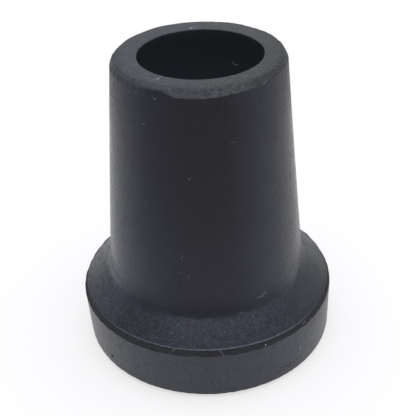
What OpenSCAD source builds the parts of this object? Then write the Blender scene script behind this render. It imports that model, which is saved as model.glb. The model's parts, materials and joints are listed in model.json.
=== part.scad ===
// Rubber tip for a walking stick: one moulding with a blind socket, a drafted barrel,
// a sloping shoulder, a ground foot and a ringed tread.
// Origin: centre of the tread, where it meets the ground. +Z runs up the stick.

/* [Socket] */
// Diameter of the stick that the socket grips
bore_d = 19; // [16:0.5:22]
// Rubber between the bottom of the socket and the ground
sole_t = 15; // [12:0.5:20]
// Bevel round the bottom of the socket, left by the end of the core pin
bore_bevel = 1; // [0.4:0.1:2]

/* [Barrel] */
// Overall height
height = 50; // [42:0.5:60]
// Width of the flat rim round the mouth of the socket
rim_w = 3.3; // [2.6:0.1:4.2]
// How far the trimmed bevel widens below the rim
bevel_w = 0.5; // [0.3:0.05:1]
// Height of the trimmed bevel
bevel_h = 1; // [0.6:0.1:2.6]
// Mould draft of the barrel, in degrees from the axis
barrel_draft = 5; // [3:0.1:5.5]
// Radius of the hollow where the barrel runs out into the shoulder
root_r = 2.5; // [1:0.25:4]

/* [Foot] */
// Widest diameter, at the parting line of the mould
foot_d = 42.5; // [41:0.5:48]
// Height of the parting line above the ground
foot_h = 9; // [7:0.25:10]
// Slope of the shoulder, in degrees from level
shoulder_slope = 38; // [34:0.5:45]
// How far the trimmed band above the parting line leans in
band_w = 0.55; // [0.4:0.05:0.8]
// Height of the trimmed band above the parting line
band_h = 0.9; // [0.6:0.05:1.4]
// Taper of the ground wall, in degrees from the axis
wall_taper = 1.5; // [0.5:0.25:3]
// Width and height of the broken edge between the wall and the tread
edge_break = 0.8; // [0.2:0.05:1]

/* [Tread] */
// Number of ring grooves
groove_count = 4; // [1:1:4]
// Width of a groove where it opens on the ground face
groove_w = 1.6; // [1.2:0.1:2]
// Depth of a groove
groove_depth = 1.6; // [1:0.1:2.2]
// Distance from one groove to the next
groove_pitch = 4; // [3.2:0.1:4.4]
// Width of the outermost rib, from the foot's side to the first groove
outer_rib_w = 2.7; // [2:0.1:3.4]
// Draft of the groove walls, in degrees from the axis
groove_draft = 12; // [5:1:15]

/* [Hidden] */
$fn = 120;
rubber = [0.19, 0.20, 0.22];

bore_r = bore_d / 2;
rim_r = bore_r + rim_w;
foot_r = foot_d / 2;

// Where the barrel starts, just under the bevel
barrel_top = [rim_r + bevel_w, height - bevel_h];
// The parting line, and the upper edge of the band above it
parting = [foot_r, foot_h];
band_top = parting + [-band_w, band_h];
// The wall's foot, just above the broken edge
wall_foot = [foot_r - (foot_h - edge_break) * tan(wall_taper), edge_break];
tread_r = wall_foot[0] - edge_break;

// The barrel's side and the shoulder are two straight lines of the section.
// They cross at the root of the barrel.
k_barrel = tan(barrel_draft);
k_shoulder = tan(shoulder_slope);
root_at = (barrel_top[0] + k_barrel * (barrel_top[1] - band_top[1] - k_shoulder * band_top[0]))
          / (1 - k_barrel * k_shoulder);
root = [root_at, band_top[1] + k_shoulder * (band_top[0] - root_at)];

function unit(v) = v / norm(v);

// What fills the hollow corner at b, of the lines b-a and b-c, out to an arc that touches both lines
module corner_fill(a, b, c, r) {
    to_a = unit(a - b);
    to_c = unit(c - b);
    half = acos(to_a * to_c) / 2;
    touch = r / tan(half);
    centre = b + unit(to_a + to_c) * r / sin(half);
    difference() {
        polygon([b, b + to_a * touch, centre, b + to_c * touch]);
        translate(centre) circle(r);
    }
}

// Half section of the moulding, with sharp corners and no tread
module plain_section() {
    polygon([
        [0, 0],
        [tread_r, 0],
        wall_foot,
        parting,
        band_top,
        root,
        barrel_top,
        [rim_r, height],
        [bore_r, height],
        [bore_r, sole_t + bore_bevel],
        [bore_r - bore_bevel, sole_t],
        [0, sole_t],
    ]);
}

// Section of one tread groove, centred on radius r and open towards the ground
module groove_section(r) {
    mouth = groove_w / 2;
    floor_half = mouth - groove_depth * tan(groove_draft);
    polygon([
        [r - mouth, 0],
        [r - floor_half, groove_depth],
        [r + floor_half, groove_depth],
        [r + mouth, 0],
    ]);
}

module tread_section() {
    first_r = wall_foot[0] - outer_rib_w - groove_w / 2;
    for (i = [0 : groove_count - 1]) groove_section(first_r - i * groove_pitch);
}

module rubber_tip() {
    color(rubber)
    rotate_extrude()
    difference() {
        union() {
            plain_section();
            corner_fill(band_top, root, barrel_top, root_r);
        }
        tread_section();
    }
}

rubber_tip();
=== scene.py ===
# %% [markdown]
# # A rubber tip for a walking stick
#
# The tip is one moulding of black rubber. It has a socket that grips the stick, a barrel
# that thickens towards the ground, a sloping shoulder and a broad foot with a ringed tread.
# The solid model has the sizes and is loaded first. A finer skin is then made over it, with
# the small faults of a real moulding. Sizes here are in millimetres until the mesh is made.

# %% Load the solid model
import json
import math

import bpy
import numpy as np
from mathutils import Matrix, Vector


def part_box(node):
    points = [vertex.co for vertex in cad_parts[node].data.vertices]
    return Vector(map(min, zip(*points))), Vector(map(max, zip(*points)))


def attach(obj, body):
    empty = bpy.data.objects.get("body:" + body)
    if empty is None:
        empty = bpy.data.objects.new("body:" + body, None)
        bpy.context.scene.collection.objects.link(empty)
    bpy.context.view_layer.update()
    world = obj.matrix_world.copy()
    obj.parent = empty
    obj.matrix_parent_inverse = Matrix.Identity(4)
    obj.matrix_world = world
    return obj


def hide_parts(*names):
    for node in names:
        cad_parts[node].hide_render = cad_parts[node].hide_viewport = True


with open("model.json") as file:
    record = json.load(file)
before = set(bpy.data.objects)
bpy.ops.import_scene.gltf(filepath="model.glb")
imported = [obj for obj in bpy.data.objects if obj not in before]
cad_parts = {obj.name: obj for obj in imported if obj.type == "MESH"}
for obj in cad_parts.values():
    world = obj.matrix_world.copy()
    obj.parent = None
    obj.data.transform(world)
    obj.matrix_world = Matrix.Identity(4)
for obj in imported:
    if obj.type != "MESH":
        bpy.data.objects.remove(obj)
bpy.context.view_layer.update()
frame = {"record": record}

# %% [markdown]
# ## Camera
#
# A small product is often seen from a little above, so that the mouth of the socket and the
# front of the foot both show. The camera looks down by a little over a third of a right
# angle, from close by, and is turned by two degrees about its own line of sight. Its axes are
# worked out as three vectors, which is easier to check than three angles.

# %% Camera
MM = 0.001
AIM = Vector((0.545, 0.0, 22.471))
CAMERA_DISTANCE = 135.906
LOOK_DOWN = math.radians(33.161)
ROLL = math.radians(2.014)
LENS = 70.70
NEAREST_SEEN = 0.01

back = Vector((0.0, -math.cos(LOOK_DOWN), math.sin(LOOK_DOWN)))
level = Vector((1.0, 0.0, 0.0))
upright = back.cross(level)
right = math.cos(ROLL) * level - math.sin(ROLL) * upright
up = math.sin(ROLL) * level + math.cos(ROLL) * upright

camera = bpy.data.objects.new("camera", bpy.data.cameras.new("camera"))
bpy.context.scene.collection.objects.link(camera)
turned = Matrix((right, up, back)).transposed().to_4x4()
camera.matrix_world = Matrix.Translation((AIM + CAMERA_DISTANCE * back) * MM) @ turned
camera.data.lens = LENS
camera.data.clip_start = NEAREST_SEEN
bpy.context.scene.camera = camera
print("camera at", [round(v, 4) for v in camera.matrix_world.translation])

# %% [markdown]
# ## Sizes of the moulding
#
# The overall height and the widest radius come from the solid model, and the radius of the
# socket comes from its record. The rest repeats the section that the solid was turned from.

# %% Sizes of the moulding
low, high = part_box("rubber_tip")
mount = next(entry for entry in frame["record"]["mounts"] if entry["name"] == "cane_socket")
HEIGHT = (high.z - low.z) / MM
FOOT_R = (high.x - low.x) / MM / 2
BORE_R = mount["dims"]["r_mm"]
SOLE = 15.0
BORE_BEVEL = 1.0
RIM_W = 3.3
BEVEL_W = 0.5
BEVEL_H = 1.0
BARREL_DRAFT = math.radians(5.0)
ROOT_R = 2.5
FOOT_H = 9.0
SHOULDER_SLOPE = math.radians(38.0)
BAND_W = 0.55
BAND_H = 0.9
WALL_TAPER = math.radians(1.5)
EDGE_BREAK = 0.8
GROOVES = 4
GROOVE_W = 1.6
GROOVE_DEPTH = 1.6
GROOVE_PITCH = 4.0
OUTER_RIB_W = 2.7
GROOVE_DRAFT = math.radians(12.0)

RIM_R = BORE_R + RIM_W
WALL_FOOT_R = FOOT_R - (FOOT_H - EDGE_BREAK) * math.tan(WALL_TAPER)
BARREL_TOP_R = RIM_R + BEVEL_W
BARREL_TOP_Z = HEIGHT - BEVEL_H
BAND_TOP_R = FOOT_R - BAND_W
BAND_TOP_Z = FOOT_H + BAND_H
print("height", round(HEIGHT, 3), "foot radius", round(FOOT_R, 3), "socket radius", BORE_R)

# %% [markdown]
# ## Lines that wander
#
# Nothing on a cheap moulding is a true circle: the flash is trimmed by hand, and warm rubber
# sags a little. Each edge gets its own closed wavy line round the axis. A few cosine waves
# with seeded random sizes give a line that meets itself and is the same on every run. Where
# the knife went deeper, the line is drawn through a few listed points.

# %% Lines that wander
COLUMNS = 500
SOFTENED = 8
turn = np.linspace(0.0, 2.0 * np.pi, COLUMNS, endpoint=False)


def wander(seed, slowest, fastest):
    draw = np.random.default_rng(seed)
    line = np.zeros(COLUMNS)
    for waves in range(slowest, fastest + 1):
        line += draw.normal() * np.cos(waves * turn + draw.uniform(0.0, 2.0 * np.pi))
    return line / line.std()


def hand_drawn(points):
    """A closed line through (degrees, value) pairs, where 0 is the front and 90 is +X."""
    degrees, values = zip(*sorted(points))
    fine = np.arange(0.0, 360.0, 0.25)
    line = np.interp(fine, degrees, values, period=360.0)
    soften = np.hanning(2 * SOFTENED + 1)
    soften /= soften.sum()
    closed = np.concatenate([line[-SOFTENED:], line, line[:SOFTENED]])
    line = np.convolve(closed, soften, mode="valid")
    return np.interp(np.degrees(turn), fine, line, period=360.0)


def barrel_r(z):
    return BARREL_TOP_R + math.tan(BARREL_DRAFT) * (BARREL_TOP_Z - z)


BEVEL_FOOT = [
    (-170, 49.10),
    (-140, 48.90),
    (-115, 49.20),
    (-95, 49.00),
    (-72, 48.85),
    (-60, 49.00),
    (-48, 49.25),
    (-36, 49.40),
    (-25, 49.62),
    (-19, 49.20),
    (-15, 48.85),
    (-8, 48.75),
    (10, 48.80),
    (24, 49.00),
    (42, 49.05),
    (52, 49.30),
    (65, 49.40),
    (90, 49.20),
    (110, 48.90),
    (135, 49.00),
    (155, 49.30),
]
bevel_foot_z = hand_drawn(BEVEL_FOOT) + 0.015 * wander(3, 18, 60)
RIM_EDGE = [
    (-150, 12.92),
    (-134, 12.68),
    (-112, 12.58),
    (-92, 12.82),
    (-60, 12.75),
    (-30, 12.66),
    (0, 12.66),
    (30, 12.62),
    (60, 12.62),
    (90, 12.72),
    (130, 12.92),
    (155, 13.02),
    (175, 12.96),
]
rim_edge_r = hand_drawn(RIM_EDGE) + 0.035 * wander(4, 5, 14) + 0.02 * wander(5, 20, 60)
parting_z = FOOT_H + 0.04 * wander(6, 3, 10) + 0.05 * wander(7, 20, 70)
BAND_TOP = [
    (-90, 9.92),
    (-30, 9.92),
    (0, 9.91),
    (18, 9.87),
    (28, 9.78),
    (44, 9.76),
    (56, 9.86),
    (90, 9.92),
    (180, 9.90),
]
band_top_z = hand_drawn(BAND_TOP) + 0.012 * wander(8, 3, 12)
lip_h = np.clip(0.08 + 0.04 * wander(9, 6, 60), 0.02, 0.16)
print("bevel foot from", round(bevel_foot_z.min(), 2), "to", round(bevel_foot_z.max(), 2))

# %% [markdown]
# ## The section, corner by corner
#
# The skin is a turned shape, so it is described by the corners of its half section, from the
# middle of the tread, out and up, over the rim and down the socket. A corner is a radius, a
# height and a sideways shift, and each of these may be a wandering line. It also says how far
# from the corner its rounding starts, and what finish the run after it has.

# %% The section, corner by corner
section = []


def corner(r, z, ease, bends, steps, finish, shift=(0.0, 0.0)):
    place = np.zeros((COLUMNS, 4))
    place[:, 0] = r
    place[:, 1] = z
    place[:, 2:] = shift
    section.append({"place": place, "ease": ease, "bends": bends, "steps": steps, "finish": finish})


def groove(middle):
    mouth = GROOVE_W / 2
    floor_half = mouth - GROOVE_DEPTH * math.tan(GROOVE_DRAFT)
    corner(middle - mouth, 0.0, 0.18, 2, 1, "tread")
    corner(middle - floor_half, GROOVE_DEPTH, 0.15, 1, 1, "tread")
    corner(middle + floor_half, GROOVE_DEPTH, 0.15, 1, 1, "tread")
    corner(middle + mouth, 0.0, 0.18, 2, 2, "tread")


corner(0.5, 0.0, 0.0, 0, 3, "tread")
first_groove = WALL_FOOT_R - OUTER_RIB_W - GROOVE_W / 2
for ring in reversed(range(GROOVES)):
    groove(first_groove - ring * GROOVE_PITCH)
corner(WALL_FOOT_R - EDGE_BREAK, 0.0, 0.35, 3, 2, "tread")
corner(WALL_FOOT_R, EDGE_BREAK, 0.25, 3, 24, "wall")
print(len(section), "corners up to the foot of the wall")

# %% [markdown]
# ## Band, lip and shoulder
#
# The two halves of the mould meet at the widest place, and the flash there is cut away with
# a knife held at a slant. The cut leaves a dull dark band, and along its upper edge a thin
# torn lip that catches the light. The lip is one raised corner that grows and shrinks.

# %% Band, lip and shoulder
LIP_FRONT = 0.07
LIP_BACK = 0.13
along_band = np.array([-BAND_W, BAND_H]) / math.hypot(BAND_W, BAND_H)
along_shoulder = np.array([-math.cos(SHOULDER_SLOPE), math.sin(SHOULDER_SLOPE)])
off_band = np.array([along_band[1], -along_band[0]])
off_shoulder = np.array([along_shoulder[1], -along_shoulder[0]])
off_lip = (off_band + off_shoulder) / np.linalg.norm(off_band + off_shoulder)
lip_r = BAND_TOP_R + (BAND_TOP_Z - band_top_z) * BAND_W / BAND_H

corner(FOOT_R, parting_z, 0.09, 2, 4, "band")
lip_start_r = lip_r - LIP_FRONT * along_band[0]
corner(lip_start_r, band_top_z - LIP_FRONT * along_band[1], 0.03, 1, 1, "lip")
corner(lip_r + lip_h * off_lip[0], band_top_z + lip_h * off_lip[1], 0.03, 2, 1, "lip")
shoulder_r = lip_r + LIP_BACK * along_shoulder[0]
corner(shoulder_r, band_top_z + LIP_BACK * along_shoulder[1], 0.04, 2, 15, "skin")

k_barrel = math.tan(BARREL_DRAFT)
k_shoulder = math.tan(SHOULDER_SLOPE)
barrel_reach = BARREL_TOP_R + k_barrel * (BARREL_TOP_Z - BAND_TOP_Z - k_shoulder * BAND_TOP_R)
root_r = barrel_reach / (1 - k_barrel * k_shoulder)
root_z = BAND_TOP_Z + k_shoulder * (BAND_TOP_R - root_r)
root_ease = ROOT_R * math.tan((math.pi / 2 - SHOULDER_SLOPE - BARREL_DRAFT) / 2)
corner(root_r, root_z, root_ease, 9, 34, "skin")
print("root of the barrel at", round(root_r, 3), round(root_z, 3))

# %% [markdown]
# ## Bevel, rim and socket
#
# The mouth is trimmed after moulding too. Strokes of the knife leave a narrow rough bevel
# whose lower edge steps up and down. The flat rim inside it comes from the mould and is
# smoother. The core pin that made the socket stood a little off the middle.

# %% Bevel, rim and socket
CORE_SHIFT = (0.24, -0.12)
corner(barrel_r(bevel_foot_z), bevel_foot_z, 0.22, 4, 7, "bevel")
corner(rim_edge_r, HEIGHT - 0.01, 0.20, 4, 9, "rim")
corner(BORE_R, HEIGHT, 0.14, 3, 8, "socket", CORE_SHIFT)
corner(BORE_R, SOLE + BORE_BEVEL, 0.2, 2, 2, "socket", CORE_SHIFT)
corner(BORE_R - BORE_BEVEL, SOLE, 0.2, 2, 3, "socket", CORE_SHIFT)
corner(0.5, SOLE, 0.0, 0, 1, "socket", CORE_SHIFT)
print(len(section), "corners in the whole section")

# %% [markdown]
# ## Rings
#
# Between two corners the rings lie on a straight run. Round a corner they follow a curve
# that leaves one run and joins the next, so smooth shading has real faces to work with.

# %% Rings
rings = []
gap_finish = []


def add_ring(place, finish):
    rings.append(place)
    gap_finish.append(finish)


def towards(origin, goal, length):
    """The point this far along the run from one corner to the next."""
    gap = goal - origin
    return origin + gap * length / np.linalg.norm(gap, axis=1, keepdims=True)


for number, here in enumerate(section):
    before = section[max(number - 1, 0)]
    after = section[min(number + 1, len(section) - 1)]
    if here["bends"]:
        start = towards(here["place"], before["place"], here["ease"])
        end = towards(here["place"], after["place"], here["ease"])
        for bend in range(here["bends"] + 1):
            t = bend / here["bends"]
            curve = (1 - t) ** 2 * start + 2 * t * (1 - t) * here["place"] + t ** 2 * end
            add_ring(curve, before["finish"] if t < 0.5 else here["finish"])
    else:
        end = here["place"]
        add_ring(end, here["finish"])
    if number + 1 < len(section):
        goal = after["place"]
        if after["bends"]:
            goal = towards(goal, end, after["ease"])
        for step in range(1, here["steps"]):
            add_ring(end + (goal - end) * step / here["steps"], here["finish"])

rings = np.array(rings)
print(len(rings), "rings of", COLUMNS, "points, about", 2 * len(rings) * COLUMNS, "triangles")

# %% [markdown]
# ## Out of true
#
# Rubber that is stripped from a warm mould doesn't stay quite straight. The barrel bows to the
# left by less than a tenth of a millimetre and is nearly back in line at the mouth. The bottom
# of the foot is pulled to the right by two tenths. Each point moves sideways by its height.

# %% Out of true
BOW_OUT = -0.008
BOW_BACK = 0.288
BOW_HEIGHT = 40.0
FOOT_PULL = 0.023


def lean(z):
    """How far the middle of the moulding lies to the right at this height."""
    above = np.maximum(z - FOOT_H, 0.0)
    below = np.minimum(z - FOOT_H, 0.0)
    return BOW_OUT * above + BOW_BACK * (above / BOW_HEIGHT) ** 2 - FOOT_PULL * below


skin = np.empty((len(rings), COLUMNS, 3))
skin[..., 0] = rings[..., 0] * np.sin(turn) + rings[..., 2] + lean(rings[..., 1])
skin[..., 1] = -rings[..., 0] * np.cos(turn) + rings[..., 3]
skin[..., 2] = rings[..., 1]

along = np.gradient(skin, axis=0)
around = np.roll(skin, -1, axis=1) - np.roll(skin, 1, axis=1)
outward = np.cross(around, along)
outward /= np.linalg.norm(outward, axis=2, keepdims=True) + 1e-12
leans = lean(np.linspace(0.0, HEIGHT, 101))
print("sideways from", round(float(leans.min()), 3), "to", round(float(leans.max()), 3), "mm")

# %% [markdown]
# ## Places on the surface
#
# Pits, scratches and lint sit at chosen places. A place is given as a maker would point to
# it: how far round it is from the front, in degrees, and how high, in millimetres. It is
# looked up on the skin, so that it lies on the real surface.

# %% Places on the surface
OUTSIDE = [n for n, name in enumerate(gap_finish) if name in ("wall", "band", "lip", "skin", "bevel")]
MOUTH_LEAN = float(lean(np.float64(HEIGHT)))


def on_side(degrees, z):
    side = skin[OUTSIDE, round(degrees / 360.0 * COLUMNS) % COLUMNS]
    across, along_y = (float(np.interp(z, side[:, 2], side[:, axis])) for axis in (0, 1))
    return (across, along_y, z)


def on_rim(degrees, r):
    angle = math.radians(degrees)
    return (r * math.sin(angle) + MOUTH_LEAN, -r * math.cos(angle), HEIGHT)


def in_socket(degrees, z):
    angle = math.radians(degrees)
    across = BORE_R * math.sin(angle) + float(lean(np.float64(z))) + CORE_SHIFT[0]
    return (across, -BORE_R * math.cos(angle) + CORE_SHIFT[1], z)


print("front of the barrel at half height", [round(v, 2) for v in on_side(0.0, 30.0)])

# %% [markdown]
# ## Unevenness
#
# A cut or ground surface is uneven at about a millimetre. Many plane waves with random
# directions add up to a grain that has no seam and no grid. The grain is strong on the
# trimmed bevel, and hardly there on the moulded sides. A few knocks go deeper, and each of
# these is a small bowl pressed into the skin.

# %% Unevenness
WAVES = 48
WALL_PIT = (-50.6, 2.64)


def grain(points, size, seed):
    draw = np.random.default_rng(seed)
    waves = draw.normal(size=(WAVES, 3))
    waves /= np.linalg.norm(waves, axis=1, keepdims=True)
    waves *= 2.0 * np.pi / size * draw.uniform(0.6, 1.5, size=(WAVES, 1))
    phases = draw.uniform(0.0, 2.0 * np.pi, size=WAVES)
    return np.cos(points @ waves.T + phases).sum(axis=2) / math.sqrt(WAVES / 2)


UNEVEN = {
    "tread": 0.02,
    "wall": 0.010,
    "band": 0.010,
    "lip": 0.012,
    "skin": 0.003,
    "bevel": 0.016,
    "rim": 0.006,
    "socket": 0.01,
}
DENTS = [
    (on_side(*WALL_PIT), 0.42, 0.30),
    (on_side(-26.6, 5.96), 0.30, 0.10),
    (on_side(45.8, 9.15), 0.45, 0.10),
    (on_side(-15.5, 9.60), 0.40, 0.08),
    (on_side(61.0, 8.95), 0.50, 0.10),
    (on_side(-25.0, 49.35), 0.70, 0.10),
    (on_side(38.6, 49.22), 0.50, 0.10),
]
uneven = np.array([UNEVEN[name] for name in gap_finish])
uneven = np.convolve(np.pad(uneven, 1, mode="edge"), [0.25, 0.5, 0.25], mode="valid")
wide_grain = 0.6 * grain(skin, 1.3, 21)
close_grain = 0.4 * grain(skin, 0.7, 22)
push = uneven[:, None] * (wide_grain + close_grain)
for spot, reach, depth in DENTS:
    nearness = np.clip(1.0 - (np.linalg.norm(skin - spot, axis=2) / reach) ** 2, 0.0, 1.0)
    push -= depth * nearness ** 2
skin += outward * push[..., None]
skin[..., 2] = np.maximum(skin[..., 2], 0.0)
print("pushed by", round(float(push.min()), 3), "to", round(float(push.max()), 3), "mm")

# %% [markdown]
# ## The mesh
#
# The rings become one closed mesh: quads between the rings, and a fan of triangles at each
# end, where the section meets the axis. Each face takes the finish of its run.

# %% The mesh
FINISHES = ["skin", "wall", "band", "lip", "bevel", "rim", "socket", "tread"]


def build_skin():
    count = len(rings)
    ends = [skin[0].mean(axis=0)], [skin[-1].mean(axis=0)]
    points = np.concatenate([skin.reshape(-1, 3), *ends]) * MM
    ring, column = np.meshgrid(np.arange(count - 1), np.arange(COLUMNS), indexing="ij")
    lower = ring * COLUMNS
    upper = lower + COLUMNS
    beside = (column + 1) % COLUMNS
    quads = np.stack([lower + column, lower + beside, upper + beside, upper + column], axis=2)
    faces = quads.reshape(-1, 4).tolist()
    slots = [FINISHES.index(name) for name in gap_finish[:-1] for _ in range(COLUMNS)]
    last = (count - 1) * COLUMNS
    for step in range(COLUMNS):
        following = (step + 1) % COLUMNS
        faces.append((count * COLUMNS, following, step))
        slots.append(FINISHES.index(gap_finish[0]))
        faces.append((count * COLUMNS + 1, last + step, last + following))
        slots.append(FINISHES.index(gap_finish[-1]))
    mesh = bpy.data.meshes.new("moulding")
    mesh.from_pydata(points.tolist(), [], faces)
    mesh.polygons.foreach_set("material_index", slots)
    mesh.polygons.foreach_set("use_smooth", [True] * len(faces))
    mesh.update()
    return mesh


moulding = bpy.data.objects.new("moulding", build_skin())
bpy.context.scene.collection.objects.link(moulding)
print("moulding has", len(moulding.data.polygons), "faces")

# %% [markdown]
# ## Shader sums
#
# A finish is worked out from numbers that vary over the surface. Wrapping a socket in a small
# class lets those sums be written as ordinary Python, and each operator adds its Math node.

# %% Shader sums
class Wire:
    """A number on its way through a material."""

    def __init__(self, owner, socket):
        self.owner = owner
        self.socket = socket

    def sum(self, operation, *values):
        made = self.owner.node("ShaderNodeMath", {"operation": operation}, dict(enumerate(values)))
        return Wire(self.owner, made.outputs[0])

    def __add__(self, other):
        return self.sum("ADD", self, other)

    def __radd__(self, other):
        return self.sum("ADD", other, self)

    def __sub__(self, other):
        return self.sum("SUBTRACT", self, other)

    def __rsub__(self, other):
        return self.sum("SUBTRACT", other, self)

    def __mul__(self, other):
        return self.sum("MULTIPLY", self, other)

    def __rmul__(self, other):
        return self.sum("MULTIPLY", other, self)

    def __truediv__(self, other):
        return self.sum("DIVIDE", self, other)

    def __pow__(self, other):
        return self.sum("POWER", self, other)

    def __abs__(self):
        return self.sum("ABSOLUTE", self)

    def at_least(self, other):
        return self.sum("MAXIMUM", self, other)

    def at_most(self, other):
        return self.sum("MINIMUM", self, other)


print("shader sums are ready")

# %% [markdown]
# ## A tree of nodes
#
# A material is a tree of nodes, and so is the world. One method adds any node: its settings
# come first, and then the values or links of its sockets. Colours are mixed, never added.

# %% A tree of nodes
class Nodes:
    """The nodes of one material, or of the world."""

    def __init__(self, block):
        self.block = block
        self.block.use_nodes = True
        self.tree = self.block.node_tree
        self.tree.nodes.clear()

    def node(self, kind, settings=None, values=None):
        made = self.tree.nodes.new(kind)
        for name, value in (settings or {}).items():
            setattr(made, name, value)
        for name, value in (values or {}).items():
            if isinstance(value, Wire):
                value = value.socket
            if isinstance(value, bpy.types.NodeSocket):
                self.tree.links.new(value, made.inputs[name])
            else:
                made.inputs[name].default_value = value
        return made

    def vector(self, operation, *values, scale=None):
        inputs = dict(enumerate(values))
        if scale is not None:
            inputs["Scale"] = scale
        return self.node("ShaderNodeVectorMath", {"operation": operation}, inputs).outputs[0]

    def number(self, operation, *values):
        made = self.node("ShaderNodeVectorMath", {"operation": operation}, dict(enumerate(values)))
        return Wire(self, made.outputs["Value"])

    def mix(self, share, first, second):
        """A colour between two colours."""
        made = self.node("ShaderNodeMix", {"data_type": "RGBA"}, {0: share, 6: first, 7: second})
        return made.outputs[2]

    def ramp(self, value, start, end):
        """0 at start and 1 at end, with a smooth climb between them."""
        values = {"Value": value, "From Min": start, "From Max": end, "To Min": 0.0, "To Max": 1.0}
        if start > end:
            values = {"Value": value, "From Min": end, "From Max": start, "To Min": 1.0, "To Max": 0.0}
        made = self.node("ShaderNodeMapRange", {"interpolation_type": "SMOOTHSTEP"}, values)
        return Wire(self, made.outputs[0])


print("a tree of nodes can be made")

# %% [markdown]
# ## A finish
#
# Every finish of the rubber starts from the same few numbers: where the point is, in
# millimetres, how far from the axis, and how much it faces the front. To these come soft
# noise, powder, scattered specks, and single marks. All of them live in the object's own
# space, so the finish stays put when the part is moved or turned.

# %% A finish
class Finish(Nodes):
    """A finish of the moulding. Positions in it are in millimetres."""

    def __init__(self, name):
        super().__init__(bpy.data.materials.new(name))
        place = self.node("ShaderNodeTexCoord").outputs
        self.normal = place["Normal"]
        self.here = self.vector("SCALE", place["Object"], scale=1.0 / MM)
        parts = self.node("ShaderNodeSeparateXYZ", {}, {0: self.here}).outputs
        self.x, self.y, self.z = (Wire(self, part) for part in parts)
        self.r = (self.x * self.x + self.y * self.y) ** 0.5
        self.facing = 0.0 - self.y / self.r

    def cells(self, size, stretch, shift):
        """The point in units of this size, moved on, so that no two patterns lie alike."""
        spread = self.vector("DIVIDE", self.here, tuple(size * part for part in stretch))
        return self.vector("ADD", spread, (shift, shift * 0.7, shift * 0.3))

    def noise(self, size, stretch=(1.0, 1.0, 1.0), detail=2.0, roughness=0.5, shift=0.0):
        """Soft cloudy noise, about 0.5 on average, with lumps of about this size."""
        where = self.cells(size, stretch, shift)
        values = {"Vector": where, "Scale": 1.0, "Detail": detail, "Roughness": roughness}
        return Wire(self, self.node("ShaderNodeTexNoise", {}, values).outputs[0])

    def crumbs(self, size, shift=0.0):
        """Another random number, 0 to 1, in each small cell, like powder seen close up."""
        where = self.cells(size, (1.0, 1.0, 1.0), shift)
        cell = self.node("ShaderNodeTexVoronoi", {"feature": "F1"}, {"Vector": where, "Scale": 1.0})
        return Wire(self, self.node("ShaderNodeSeparateColor", {}, {0: cell.outputs["Color"]}).outputs[0])

    def specks(self, spacing, reach, chosen, stretch=(1.0, 1.0, 1.0), shift=0.0):
        """1 inside small round spots: reach is their radius, chosen the share of cells with one."""
        where = self.cells(spacing, stretch, shift)
        cell = self.node("ShaderNodeTexVoronoi", {"feature": "F1"}, {"Vector": where, "Scale": 1.0})
        draw = self.node("ShaderNodeSeparateColor", {}, {0: cell.outputs["Color"]})
        inside = self.ramp(Wire(self, cell.outputs["Distance"]), reach / spacing, 0.4 * reach / spacing)
        return inside * self.ramp(Wire(self, draw.outputs[0]), chosen, chosen - 0.01)

    def near(self, value, target, reach):
        """1 where a value is at the target, and 0 once it is off by the reach."""
        return self.ramp(abs(value - target), reach, 0.2 * reach)

    def dot(self, place, reach):
        """1 inside one small round spot."""
        return self.ramp(self.number("DISTANCE", self.here, place), reach, 0.4 * reach)

    def stroke(self, start, end, reach):
        """1 along one thin straight mark."""
        span = Vector(end) - Vector(start)
        from_start = self.vector("SUBTRACT", self.here, start)
        share = self.number("DOT_PRODUCT", from_start, tuple(span / span.length_squared))
        along = self.vector("SCALE", tuple(span), scale=share.at_least(0.0).at_most(1.0))
        return self.ramp(self.number("DISTANCE", from_start, along), reach, 0.4 * reach)

    def marks(self, find, reach, table):
        """Dots and bent strokes. Each row of the table is a strength and then its places."""
        total = 0.0
        for strength, *path in table:
            places = [find(*place) for place in path]
            shape = self.dot(places[0], reach) if len(places) == 1 else 0.0
            for start, end in zip(places[:-1], places[1:]):
                shape = self.stroke(start, end, reach).at_least(shape)
            total = strength * shape + total
        return total

    def done(self, colour, roughness, height, **constants):
        """Joins colour, roughness and a height in millimetres to the shader and the output."""
        bump = self.node("ShaderNodeBump", {}, {"Height": height, "Distance": MM, "Strength": 1.0})
        values = {"Base Color": colour, "Roughness": roughness, "Normal": bump.outputs[0], **constants}
        shader = self.node("ShaderNodeBsdfPrincipled", {}, values)
        self.node("ShaderNodeOutputMaterial", {}, {"Surface": shader.outputs[0]})
        moulding.data.materials.append(self.block)
        print(self.block.name, "has", len(self.tree.nodes), "nodes")


print("a finish can be made")

# %% [markdown]
# ## Rubber and its bloom
#
# The rubber is nearly black with carbon. What gives each face its own grey is the pale film
# on it: wax that blooms out of the rubber, talc from the mould, and dust. In some places the
# same film also carries painted light or shade, as said where it is used. So each finish is
# one black and one film, mixed by how much film that face holds. Moulded and rubbed faces are
# satin and reflect more at a glancing angle. Cut faces are dull, so they have less gloss and
# more film.

# %% Rubber and its bloom
RUBBER = (0.0013, 0.0012, 0.0017, 1.0)
WAX = (0.30, 0.33, 0.39, 1.0)
TALC = (0.26, 0.32, 0.41, 1.0)
CHALK = (0.31, 0.33, 0.358, 1.0)
PALE = (0.325, 0.332, 0.338, 1.0)
BLOOM = (0.14, 0.28, 0.62, 1.0)
DUST = (0.50, 0.50, 0.52, 1.0)
TINT = (0.85, 0.85, 1.0, 1.0)
BARREL_GLOSS = {"IOR": 1.375, "Specular Tint": TINT}
WALL_GLOSS = {"IOR": 1.45, "Specular Tint": TINT}
RIM_GLOSS = {"IOR": 1.27, "Specular Tint": TINT}
CUT_GLOSS = {"IOR": 1.18, "Specular Tint": TINT}
print("rubber", RUBBER[:3], "and six films up to", DUST[:3])

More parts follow.
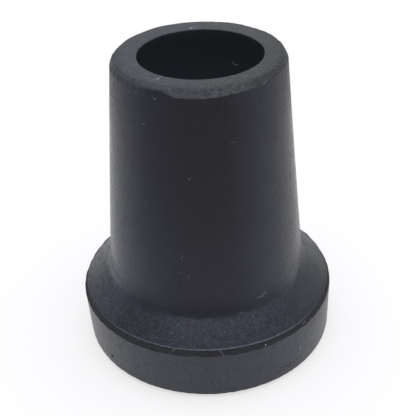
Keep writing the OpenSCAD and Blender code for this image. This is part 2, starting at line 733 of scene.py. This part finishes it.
# %% [markdown]
# ## The sides
#
# The barrel and the shoulder come straight from the mould, so they share one finish. It starts
# with the noises that the rest is mixed from: clouds of some millimetres, a mottle, a fine
# fuzz, and powder. Small pits show where light grazes the barrel, so the scattered ones fade
# out towards the front, and those that can be pointed at are listed one by one.

# %% The sides
sides = Finish("sides")
cloud = sides.noise(6.0, detail=3.0)
mottle = sides.noise(1.3, stretch=(1.0, 1.7, 1.0), detail=3.0, shift=7.0)
fuzz = sides.noise(0.42, stretch=(1.0, 1.8, 1.0), detail=2.0, shift=2.0)
powder = sides.crumbs(0.19)
lumps = sides.crumbs(0.40, shift=3.0)
# Mask for the painted sheen on the shoulder, growing towards the sides.
painted_side_sheen = sides.ramp(sides.facing, 0.80, 0.40)
off_front = sides.ramp(sides.facing, 0.95, 0.45)

PIT_REACH = 0.17
SIDE_PITS = [
    (1.0, (-20.4, 11.66)),
    (0.7, (2.6, 11.2)),
    (1.0, (-55.6, 25.79)),
    (0.4, (-48.2, 31.73)),
    (0.4, (-43.6, 33.88)),
    (0.5, (-60.4, 34.08)),
    (1.0, (-72.0, 13.09)),
    (1.0, (-69.4, 13.12)),
    (0.8, (-81.8, 12.93)),
    (0.8, (64.2, 39.43)),
    (0.7, (50.6, 40.19)),
    (0.6, (57.4, 39.15)),
    (1.0, (63.6, 38.23)),
    (0.5, (47.8, 38.75)),
    (0.8, (68.6, 35.4), (68.6, 34.8)),
    (0.8, (73.8, 34.0)),
    (0.5, (56.6, 34.68)),
    (0.7, (66.8, 33.40)),
    (1.0, (65.4, 32.3), (65.4, 31.6)),
    (1.0, (51.2, 31.81)),
    (1.0, (47.8, 31.37)),
    (0.7, (64.4, 29.34)),
    (0.8, (62.0, 28.78)),
    (1.0, (66.6, 27.7)),
    (1.0, (60.4, 24.19)),
    (0.6, (60.0, 24.99)),
    (0.5, (45.8, 22.9), (45.4, 22.0)),
    (0.8, (65.8, 18.05)),
    (1.0, (54.0, 18.69)),
    (0.8, (51.0, 17.85)),
    (0.6, (60.4, 15.9)),
    (0.7, (51.0, 14.94)),
]
pits = (sides.specks(1.0, 0.15, 0.50) + sides.specks(2.2, 0.24, 0.12, shift=5.0)) * off_front
pits = (pits + sides.marks(on_side, PIT_REACH, SIDE_PITS)).at_most(1.0)
print("the sides have", len(sides.tree.nodes), "nodes for noise and pits")

# %% [markdown]
# ## Film on the barrel
#
# The barrel is the cleanest face. Its film grows towards the bottom as a painted reflection of
# the bright near floor. Its flanks get a cloudy film of painted light, more on the right. In the
# hollow at its root there is painted shade round the front, darkest in the two quarters beside
# it, and a painted highlight at the sides. All of it is added up before it is cut off at zero,
# because there can't be less than no film.

# %% Film on the barrel
BARREL_FILM_AND_REFLECTION = 0.036
BARREL_RUN = 36.0
RIGHT_FLANK_LIGHT = 0.042
LEFT_FLANK_LIGHT = 0.028

swing = sides.x / sides.r
rising = ((BARREL_TOP_Z - sides.z) / BARREL_RUN).at_least(0.0)
# Painted shade in the crease: the barrel film thins out towards the root.
clear_of_crease_shade = 0.5 * sides.ramp(sides.z, 13.7, 14.4) + 0.5 * sides.ramp(sides.z, 14.0, 18.0)
# Painted reflection of the bright near floor: the film grows towards the bottom.
barrel_film_and_light = BARREL_FILM_AND_REFLECTION * rising ** 1.7 * (0.6 + 0.8 * cloud) * clear_of_crease_shade
right_flank = sides.ramp(swing, 0.16, 0.70) * sides.ramp(swing, 0.97, 0.82)
left_flank = sides.ramp(swing, -0.45, -0.86)
# Painted light on both flanks, more on the right.
painted_flank_light = (RIGHT_FLANK_LIGHT * right_flank + LEFT_FLANK_LIGHT * left_flank) * (0.6 + 0.8 * cloud)
haze = 0.005 * sides.ramp(sides.z, 46.5, 49.5)
creased = 0.012 * sides.ramp(sides.z, 14.0, 13.3)
# Painted shade in the crease, darkest in the two quarters beside the front.
crease_shade_quarters = sides.ramp(sides.facing, 0.92, 0.78) * sides.ramp(sides.facing, 0.45, 0.65)
hollow = sides.ramp(sides.z, 16.6, 14.6) * sides.ramp(sides.z, 12.6, 13.4)
# Painted highlight along the hollow at the sides, and painted shade in the two quarters.
root_highlight_and_shade = hollow * 0.10 * sides.ramp(sides.facing, 0.77, 0.40) * sides.ramp(sides.facing, 0.10, 0.40)
root_highlight_and_shade = root_highlight_and_shade * (0.6 + 0.4 * sides.ramp(sides.x, -4.0, 4.0)) - 0.012 * hollow * crease_shade_quarters
coarse = off_front * (1.0 + hollow)
dusted = (0.014 + 0.032 * coarse + 0.02 * hollow * off_front) * (powder - 0.5)
dusted = dusted + 0.030 * coarse * (lumps - 0.5) + 0.035 * off_front * (mottle - 0.5)
barrel_film_and_light = (barrel_film_and_light + painted_flank_light + haze + creased + root_highlight_and_shade + dusted).at_least(0.0)
print("the sides have", len(sides.tree.nodes), "nodes with the film of the barrel")

# %% [markdown]
# ## Talc on the shoulder
#
# Talc settles on the shoulder, which faces up, as a fine speckle that stops at a ragged line in
# the hollow. It is darker in one patch at the front left and thicker on the far faces. Towards
# the sides a painted sheen makes it lighter, and a strip just above the lip has painted shade.
# At the root of the barrel on the far left and right, above the line, a painted highlight lies
# along the hollow.

# %% Talc on the shoulder
TALC_LINE = 13.0
SHOULDER_FILM = 0.055

far_right = sides.ramp(swing, 0.75, 0.97)
far_left = sides.ramp(swing, -0.80, -0.97)
# In the two quarters the talc line sits lower, which widens the painted crease shade.
shelf_edge = sides.z - 0.9 * far_right + 0.3 * crease_shade_quarters + 0.4 * (sides.noise(0.8, detail=3.0) - 0.5)
shelf = sides.ramp(shelf_edge, TALC_LINE + 0.25, TALC_LINE - 0.25)
# Painted highlight along the root on the far left and right.
painted_root_highlight = far_right * sides.near(sides.z, 14.9, 1.0) * (0.03 + 0.06 * cloud) + 0.05 * far_left * hollow
gloom = sides.ramp(sides.number("DISTANCE", sides.here, on_side(-37.0, 12.0)), 6.0, 1.5)
behind = sides.ramp(sides.facing, 0.24, -0.12) * sides.ramp(sides.facing, -0.80, -0.30)
behind = behind * (0.35 + 0.65 * sides.ramp(sides.x, 2.0, -2.0))
front_left = sides.ramp(sides.x, 16.0, 5.0) * sides.ramp(sides.facing, 0.35, 0.65)
sprinkle = 0.45 + 2.0 * behind + 0.55 * front_left
# Painted shade on the strip just above the lip.
painted_lip_shade = 1.0 - 0.22 * sides.ramp(sides.z, BAND_TOP_Z + 0.55, BAND_TOP_Z + 0.10)
grit = (sides.crumbs(0.33, shift=11.0) - 0.5) * shelf * sides.ramp(swing, -0.80, -0.97)
# The share that grows towards the sides is a painted sheen.
talc_and_sheen = SHOULDER_FILM - 0.008 * sides.ramp(sides.x, 4.0, 14.0) + 0.030 * painted_side_sheen + 0.02 * behind
talc_and_sheen = talc_and_sheen - 0.022 * gloom + 0.05 * (mottle - 0.5)
front_talc = 0.018 * sides.ramp(sides.z, 10.9, 12.2) * sides.ramp(sides.facing, 0.62, 0.86)
talc_and_sheen = talc_and_sheen + front_talc * sides.ramp(sides.x, -11.0, -7.0)
talc_and_sheen = talc_and_sheen + 0.05 * (sides.noise(3.0, detail=2.0, shift=13.0) - 0.5)
sprinkled = 0.075 * (powder - 0.5) + 0.026 * (lumps - 0.5) + 0.05 * sides.ramp(powder, 0.93, 0.97)
shoulder_film_and_light = (painted_lip_shade * talc_and_sheen + sprinkle * (1.0 - 0.3 * gloom) * sprinkled).at_least(0.0)
side_film_and_light = (barrel_film_and_light + painted_root_highlight) * (1.0 - shelf) + shelf * shoulder_film_and_light
print("the sides have", len(sides.tree.nodes), "nodes with the talc of the shoulder")

# %% [markdown]
# ## Lint on the sides
#
# Lint and crumbs of talc cling here and there. Most are a dot or a short dash, and one is a
# curled fibre that lies in the hollow. Each has its own strength, because a hair that lies
# deeper in the bloom shows less.

# %% Lint on the sides
LINT_REACH = 0.11
SIDE_LINT = [
    (0.07, (-29.0, 48.50), (-28.0, 48.33)),
    (0.12, (-28.1, 48.30), (-27.5, 48.28)),
    (0.09, (-27.5, 48.34), (-26.4, 48.48)),
    (0.08, (-42.6, 48.40), (-41.0, 48.64)),
    (0.09, (-36.6, 44.12), (-35.5, 44.26)),
    (0.04, (-35.5, 44.28), (-34.4, 44.46)),
    (0.03, (-30.0, 45.01), (-28.6, 45.21)),
    (0.11, (-8.1, 36.74), (-7.5, 36.74)),
    (0.05, (-8.8, 36.88), (-6.6, 36.94)),
    (0.10, (30.0, 42.6)),
    (0.05, (17.6, 42.06), (20.2, 41.8)),
    (0.18, (-29.5, 32.2)),
    (0.05, (-28.2, 30.95)),
    (0.03, (34.0, 47.13), (35.8, 47.17)),
    (0.11, (45.0, 45.13)),
    (0.06, (-12.6, 23.95), (-14.0, 23.47), (-13.0, 22.92)),
    (0.20, (-15.2, 20.88)),
    (0.08, (-10.4, 20.48), (-9.2, 19.96)),
    (0.08, (-13.0, 18.33)),
    (0.14, (1.8, 15.46)),
    (0.07, (3.8, 25.2)),
    (0.03, (20.4, 30.41), (21.4, 30.05)),
    (0.12, (28.6, 14.66), (31.4, 14.58)),
    (0.26, (31.4, 14.58), (33.6, 15.02)),
    (0.04, (33.6, 15.02), (35.4, 15.70)),
    (0.14, (0.2, 12.86)),
    (0.11, (17.6, 13.15), (19.0, 13.18)),
    (0.05, (-18.6, 11.43), (-17.0, 11.24)),
    (0.28, (-62.4, 11.16)),
]
lint = sides.marks(on_side, LINT_REACH, SIDE_LINT)
blued = sides.ramp(sides.z, 34.0, 20.0) * sides.ramp(swing, -0.20, -0.50) * sides.ramp(swing, -0.97, -0.80)
blue_film = sides.mix(shelf.at_least(hollow).at_least(blued), WAX, TALC)
side_turned = sides.ramp(sides.facing - 0.35 * sides.ramp(sides.x, 4.0, 14.0), 0.45, 0.05)
pale_film = sides.mix(side_turned, blue_film, CHALK)
on_left = sides.ramp(swing, -0.15, -0.50) * sides.ramp(swing, -1.0, -0.85)
blue_share = (0.006 + 0.006 * sides.ramp(sides.z, 38.0, 20.0)) * on_left * (1.0 - shelf)
filmed_and_painted_light = sides.mix((side_film_and_light + 0.08 * grit) * (1.0 - pits), RUBBER, pale_film)
bloomed = sides.mix(blue_share, filmed_and_painted_light, BLOOM)
side_colour = sides.mix(lint, bloomed, DUST)
side_relief = 0.018 * fuzz + 0.018 * mottle - 0.06 * pits + shelf * 0.004 * lumps
at_root = sides.ramp(sides.z, 22.0, 17.0) * sides.ramp(sides.facing, 0.40, 0.10) * (1.0 - shelf)
dulled = 0.30 + 0.15 * sides.ramp(sides.z, 38.0, 49.0) + 0.08 * at_root + 0.04 * shelf
shelf_dull = 0.11 * sides.ramp(sides.facing, 0.0, 0.45) + 0.05 * sides.ramp(sides.facing, 0.0, -0.3)
dulled = dulled + shelf * shelf_dull
dulled = dulled - 0.20 * grit - 0.16 * (mottle - 0.5) * sides.ramp(sides.facing, 0.65, 0.25)
dulled = dulled + far_right * (0.12 * sides.near(sides.z, 13.5, 0.6) + 0.05 * shelf)
sides.done(side_colour, dulled + 0.3 * pits + 0.2 * off_front * (powder - 0.5), side_relief, **BARREL_GLOSS)

# %% [markdown]
# ## The wall of the foot
#
# The wall was rubbed by other tips in the sack and carries an even grey bloom, with fine marks
# that run round it, a pit, some short black scratches and a pale scuff.

# %% The wall of the foot
WALL_FILM = 0.081
CUT_REACH = 0.14
SPECK_REACH = 0.12

wall = Finish("wall")
wall_cloud = wall.noise(4.0, detail=4.0)
rubbed = wall.noise(0.8, stretch=(1.8, 1.8, 0.35), detail=3.0, shift=5.0)
scored = wall.ramp(wall.noise(0.6, stretch=(3.0, 3.0, 0.35), detail=2.0, shift=9.0), 0.60, 0.72)
chalky = wall.crumbs(0.20)

WALL_CUTS = [
    (1.4, (35.2, 2.64), (37.8, 2.56)),
    (0.8, (31.8, 2.92), (34.6, 2.76)),
    (0.5, (30.2, 2.16), (33.0, 2.20)),
    (0.5, (-1.0, 3.68), (0.4, 3.04)),
    (2.0, (-26.6, 5.96)),
    (0.5, (-36.0, 4.4), (-33.0, 4.1)),
    (0.5, (-44.0, 6.3), (-41.5, 6.2)),
    (0.5, (40.0, 3.3), (42.0, 3.1)),
    (0.6, (42.5, 4.75), (42.6, 4.20)),
]
WALL_SPECKS = [
    (0.28, (5.8, 4.64)),
    (0.24, (5.0, 4.32)),
    (0.12, (26.0, 4.0)),
]
cuts = wall.marks(on_side, CUT_REACH, WALL_CUTS) + wall.dot(on_side(*WALL_PIT), 0.46)
cuts = cuts.at_most(1.0)
scuff = wall.stroke(on_side(44.1, 5.10), on_side(44.2, 4.15), 0.15)
wall_pale = wall.marks(on_side, SPECK_REACH, WALL_SPECKS) + 0.24 * scuff
to_flank = wall.ramp(wall.facing, 0.95, 0.70)
# The wall is darker at its top on the right.
darker_top_right = wall.ramp(wall.x, 15.0, 17.0) * wall.ramp(wall.z, 6.2, 8.4)
wall_film = WALL_FILM * (0.55 + 0.5 * wall_cloud + 0.4 * rubbed) * (1.0 - 0.8 * darker_top_right)
wall_film = wall_film + (0.05 + 0.06 * to_flank) * (chalky - 0.5)
wall_film = wall_film.at_least(0.0) * (1.0 - 0.5 * scored) * (1.0 - cuts)
wall_colour = wall.mix(wall_pale, wall.mix(wall_film, RUBBER, WAX), DUST)
wall_relief = 0.045 * rubbed + 0.008 * chalky - 0.03 * scored - 0.10 * cuts
wall.done(wall_colour, 0.30 + 0.12 * rubbed + 0.3 * cuts, wall_relief, **WALL_GLOSS)

# %% [markdown]
# ## Band and lip
#
# The trimmed band is the bare black of the rubber, dulled by the knife, and on its far sides it
# has painted shade. The torn lip above it is pale, with a painted highlight that is brightest
# round the front and weaker on the far sides. A few pale hairs and a crumb lie on the band.

# %% Band and lip
BAND_FILM = 0.078
HAIR_REACH = 0.13
LIP_FILM = 0.09
LIP_HIGHLIGHT = 0.31
BAND_MARKS = [
    (0.15, (-16.0, 9.52), (-14.6, 9.90)),
    (0.10, (4.4, 9.80), (5.6, 9.17)),
    (0.80, (24.4, 9.24)),
    (0.18, (45.8, 9.21), (47.2, 9.42)),
]
band = Finish("band")
torn = band.noise(0.45, detail=4.0, roughness=0.6)
# On the far sides the film is halved: painted shade.
band_film_and_shade = BAND_FILM * (0.35 + 1.3 * torn) * (1.0 - 0.5 * band.ramp(band.facing, 0.38, 0.22))
band_film_and_shade = band_film_and_shade + 0.03 * (band.crumbs(0.20) - 0.5)
band_pale = band.marks(on_side, HAIR_REACH, BAND_MARKS)
band_colour = band.mix(band_pale, band.mix(band_film_and_shade, RUBBER, PALE), DUST)
band.done(band_colour, 0.60, 0.03 * torn, **CUT_GLOSS)

lip = Finish("lip")
# Painted highlight on the lip, brightest round the front.
front_highlight = lip.ramp(lip.facing + 0.2 * (lip.noise(1.5) - 0.5), 0.40, 1.0)
beads = 0.4 + 0.6 * lip.ramp(lip.noise(0.5, detail=3.0), 0.30, 0.60)
lip_film_and_highlight = LIP_FILM + LIP_HIGHLIGHT * front_highlight * beads * (0.7 + 0.3 * lip.ramp(lip.x, -8.0, 2.0))
# Painted highlight on the far sides of the lip, in a greyer colour.
far_side_highlight = lip.ramp(lip.facing, 0.45, 0.10)
lip_film_and_highlight = lip_film_and_highlight + 0.16 * far_side_highlight
lip_colour = lip.mix(lip_film_and_highlight, RUBBER, lip.mix(far_side_highlight, WAX, CHALK))
lip.done(lip_colour, 0.45, 0.02 * lip.noise(0.3), **RIM_GLOSS)

# %% [markdown]
# ## Marks round the mouth
#
# Lint and crumbs lie on the rim and the bevel, and the knife left small black nicks. A place on
# the rim is degrees round and millimetres from the axis. A place on the bevel is degrees round
# and a height, as it is on the sides.

# %% Marks round the mouth
NICK_REACH = 0.16
MOUTH_LINT_REACH = 0.14
RIM_LINT = [
    (0.12, (-37.2, 12.00), (-33.4, 10.90)),
    (0.60, (-32.9, 10.72), (-32.4, 10.50)),
    (0.12, (-32.6, 10.50), (-32.6, 9.94)),
    (0.04, (-47.2, 11.59)),
    (0.05, (-92.0, 12.38)),
    (0.03, (-19.2, 11.43)),
    (0.03, (-25.6, 10.59)),
    (0.80, (187.6, 10.20), (185.8, 10.32)),
    (0.22, (185.8, 10.32), (181.8, 10.50)),
    (0.10, (87.2, 12.60)),
    (0.06, (80.6, 12.50)),
]
RIM_NICKS = [
    (0.6, (-46.2, 12.60)),
    (0.5, (-41.0, 12.40)),
    (0.5, (-71.8, 12.70), (-74.4, 12.28)),
    (0.5, (59.8, 12.16)),
    (0.6, (87.2, 12.24)),
]
BEVEL_LINT = [
    (0.16, (-21.0, 49.93)),
    (0.11, (-18.4, 49.90)),
    (0.11, (-43.2, 49.95)),
    (0.06, (-75.8, 49.63)),
    (0.19, (10.0, 49.44)),
    (0.09, (9.0, 49.07)),
    (0.15, (27.0, 49.52)),
    (0.09, (45.6, 49.26), (41.4, 49.00)),
    (0.04, (21.2, 49.22)),
    (0.06, (28.4, 49.9)),
]
BEVEL_NICKS = [
    (0.6, (-10.6, 49.78)),
    (0.6, (38.6, 49.22)),
    (0.5, (-46.2, 49.85)),
    (0.5, (66.0, 49.5), (70.0, 49.7)),
]
print(len(RIM_LINT + BEVEL_LINT), "bits of lint,", len(RIM_NICKS + BEVEL_NICKS), "nicks")

# %% [markdown]
# ## Bevel and rim
#
# The flat rim holds an even bloom, with a painted highlight across its back. It was cut round
# the outside, so it grows darker and blotched towards the bevel, with pale torn flecks and small
# black nicks. One number, the distance across the mouth, runs over the rim and on down the bevel,
# so both finishes share it.

# %% Bevel and rim
def mouth(name, find, base, gritty, bumpy, lint_table, nick_table, **constants):
    """A finish that changes with the distance across the mouth and down the bevel."""
    finish = Finish(name)
    across = finish.r + (HEIGHT - finish.z)
    patch = finish.noise(1.1, detail=4.0, roughness=0.6)
    blotch = finish.noise(0.55, detail=4.0, roughness=0.65, shift=6.0)
    grey = finish.crumbs(0.20)
    cut_side = finish.ramp(finish.facing, -0.6, 0.3)
    slope = Wire(finish, finish.node("ShaderNodeSeparateXYZ", {}, {0: finish.normal}).outputs[2])
    foot = finish.ramp(slope, 0.42, 0.10)
    back_edge = finish.ramp(across, 12.3, 12.7) * finish.ramp(finish.facing, 0.1, -0.4)
    worn = finish.ramp(across + 0.9 * (patch - 0.5), 11.0, 13.1) * cut_side
    crest = finish.near(across + 0.6 * (blotch - 0.5), 12.75, 0.28) * finish.ramp(finish.facing, 0.97, 0.6)
    torn_edge = finish.ramp(across, 12.4, 12.9) * cut_side
    flecks = finish.ramp(finish.noise(0.30, detail=2.0, shift=4.0), 0.64, 0.74) * torn_edge
    nicks = finish.marks(find, NICK_REACH, nick_table)
    nicks = nicks + finish.specks(0.9, 0.13, 0.25, shift=8.0) * torn_edge
    film = base * (1.0 - 0.32 * worn) * (1.0 - 0.30 * crest * cut_side) * (1.0 - 0.25 * back_edge)
    blended = finish.ramp(finish.x, -3.5, -6.0) * finish.ramp(finish.facing, -0.3, 0.1)
    film = film * (1.0 - 0.34 * blended * finish.ramp(across, 12.8, 13.7))
    film = film * (1.0 - 0.20 * finish.ramp(finish.x, 3.0, 8.0) * finish.ramp(across, 12.6, 13.2))
    film = film * (1.0 - 0.18 * finish.ramp(finish.x, 6.0, 12.0) * finish.ramp(finish.facing, -0.5, 0.2))
    # Painted highlight across the back of the rim.
    film = film * (1.0 + 0.14 * finish.ramp(finish.facing, -0.5, -0.9) * finish.near(across, 11.9, 0.9))
    film = film * (0.83 + 0.34 * patch) * (1.0 - 0.50 * foot) + gritty * (grey - 0.5)
    ragged = torn_edge * (0.55 + 0.45 * finish.ramp(finish.x, -3.0, 2.0))
    film = film + 1.8 * gritty * (blotch - 0.5) + ragged * (0.16 * (blotch - 0.5) + 0.08 * flecks)
    film = film.at_least(0.0) * (1.0 - 0.7 * nicks.at_most(1.0))
    lint_here = finish.marks(find, MOUTH_LINT_REACH, lint_table)
    coat = finish.mix(finish.ramp(finish.x, -6.0, 9.0), CHALK, PALE)
    coated = finish.mix(lint_here, finish.mix(film, RUBBER, coat), DUST)
    height = bumpy * (0.3 * grey + blotch + torn_edge * blotch) - 0.04 * nicks
    finish.done(coated, 0.50, height, **constants)


mouth("bevel", on_side, 0.280, 0.050, 0.025, BEVEL_LINT, BEVEL_NICKS, **CUT_GLOSS)
mouth("rim", on_rim, 0.143, 0.085, 0.012, RIM_LINT, RIM_NICKS, **RIM_GLOSS)

# %% [markdown]
# ## Socket and tread
#
# The socket is seen only for its first centimetre. A painted light grows with depth in it,
# against the shade inside, so that it looks evenly dark, with one pale hair.
# The tread and the broken edge round it have the dust of the bench they stood on.

# %% Socket and tread
SOCKET_FADE = (50.0, 39.0)
BORE_FILM = 0.040
DEEP_PAINTED_LIGHT = 0.155
TREAD_FILM = 0.05
BORE_HAIR = [
    (0.30, (148.0, 45.0), (146.2, 44.6), (141.4, 44.65)),
]

bore = Finish("bore")
# Painted light: the film grows with depth, against the shade inside the socket.
deep = bore.ramp(bore.z, *SOCKET_FADE)
hair = bore.marks(in_socket, HAIR_REACH, BORE_HAIR)
bore_film_and_light = BORE_FILM + DEEP_PAINTED_LIGHT * deep + 0.02 * (bore.noise(0.6) - 0.5)
bore_colour = bore.mix(hair, bore.mix(bore_film_and_light, RUBBER, WAX), DUST)
bore.done(bore_colour, 0.40, 0.01 * bore.noise(0.3), **BARREL_GLOSS)

tread = Finish("tread")
tread_film = TREAD_FILM + 0.08 * tread.noise(0.8, detail=4.0)
tread.done(tread.mix(tread_film, RUBBER, WAX), 0.60, 0.03 * tread.noise(0.4, detail=3.0), **CUT_GLOSS)

# %% [markdown]
# ## Floor
#
# The tip stands on a plain pale sheet. Where it is seen, straight, in a reflection or through
# something clear, the sheet is whiter than it is as a source of light and glows a little, so
# that the shadow round the foot stays but is faint. Far off it glows fully and ends in white.

# %% Floor
FLOOR_COLOUR = (0.90, 0.90, 0.90, 1.0)
FLOOR_SEEN = (0.98, 0.975, 0.94, 1.0)
WHITE = (1.0, 1.0, 1.0, 1.0)
FLOOR_GLOW = 0.62
FLOOR_REACH = 3.0
FLOOR_FADE = (0.3, 1.5)


def where_seen(nodes):
    """1 where a thing is seen, straight, reflected or through glass, and 0 where it gives light."""
    rays = nodes.node("ShaderNodeLightPath").outputs
    seen = Wire(nodes, rays["Is Camera Ray"])
    return seen.at_least(rays["Is Glossy Ray"]).at_least(rays["Is Transmission Ray"])


paper = Nodes(bpy.data.materials.new("paper"))
floor_seen = where_seen(paper)
sheet_values = {
    "Base Color": paper.mix(floor_seen, FLOOR_COLOUR, FLOOR_SEEN),
    "Roughness": 0.9,
    "Specular IOR Level": 0.0,
}
sheet = paper.node("ShaderNodeBsdfPrincipled", {}, sheet_values)
glow = paper.node("ShaderNodeEmission", {}, {"Color": WHITE, "Strength": 1.0})
on_floor = paper.node("ShaderNodeTexCoord").outputs["Object"]
far = paper.ramp(paper.number("DISTANCE", on_floor, (0.0, 0.0, 0.0)), *FLOOR_FADE)
glowing = floor_seen * (FLOOR_GLOW + (1.0 - FLOOR_GLOW) * far)
both = paper.node("ShaderNodeMixShader", {}, {0: glowing, 1: sheet.outputs[0], 2: glow.outputs[0]})
paper.node("ShaderNodeOutputMaterial", {}, {"Surface": both.outputs[0]})
paper.block.cycles.emission_sampling = "NONE"

floor_mesh = bpy.data.meshes.new("floor")
quarters = [(-1, -1), (1, -1), (1, 1), (-1, 1)]
floor_corners = [(FLOOR_REACH * x, FLOOR_REACH * y, 0.0) for x, y in quarters]
floor_mesh.from_pydata(floor_corners, [], [(0, 1, 2, 3)])
floor_mesh.materials.append(paper.block)
floor = bpy.data.objects.new("floor", floor_mesh)
bpy.context.scene.collection.objects.link(floor)
print("floor of", 2 * FLOOR_REACH, "m")

# %% [markdown]
# ## World and lamps
#
# A small product is lit in a light tent. The world is the cloth of the tent. It is nearly
# white where it is seen, as the floor is, but lights the part a little less. A large box
# above gives most of the light, and a weaker one at the right gives it a direction. The light
# is a touch cooler than white, as daylight is.

# %% World and lamps
DAYLIGHT = (0.972, 0.985, 1.065)
TENT_STRENGTH = 0.70
TENT_SEEN = (0.955, 0.975, 1.0, 1.0)
LIT_PLACE = Vector((0.0, 0.0, 0.02))

tent = Nodes(bpy.data.worlds.new("light tent"))
cloth_seen = where_seen(tent)
cloth_values = {
    "Color": tent.mix(cloth_seen, (*DAYLIGHT, 1.0), TENT_SEEN),
    "Strength": TENT_STRENGTH + (1.0 - TENT_STRENGTH) * cloth_seen,
}
cloth = tent.node("ShaderNodeBackground", {}, cloth_values)
tent.node("ShaderNodeOutputWorld", {}, {"Surface": cloth.outputs[0]})
bpy.context.scene.world = tent.block


def soft_box(name, place, size, glow):
    lamp = bpy.data.lights.new(name, "AREA")
    lamp.shape = "SQUARE"
    lamp.size = size
    lamp.color = DAYLIGHT
    lamp.energy = math.pi * size * size * glow
    box = bpy.data.objects.new(name, lamp)
    bpy.context.scene.collection.objects.link(box)
    box.location = place
    box.rotation_euler = (LIT_PLACE - Vector(place)).to_track_quat("-Z", "Y").to_euler()
    print(name, "at", place)


soft_box("right box", (0.55, -0.05, 0.35), size=0.5, glow=0.36)
soft_box("top box", (0.0, 0.0, 0.70), size=0.6, glow=2.0)

bpy.context.scene.view_settings.view_transform = "Standard"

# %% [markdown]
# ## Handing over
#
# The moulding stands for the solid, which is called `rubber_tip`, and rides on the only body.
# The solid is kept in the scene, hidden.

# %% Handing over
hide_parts("rubber_tip")
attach(moulding, "root")
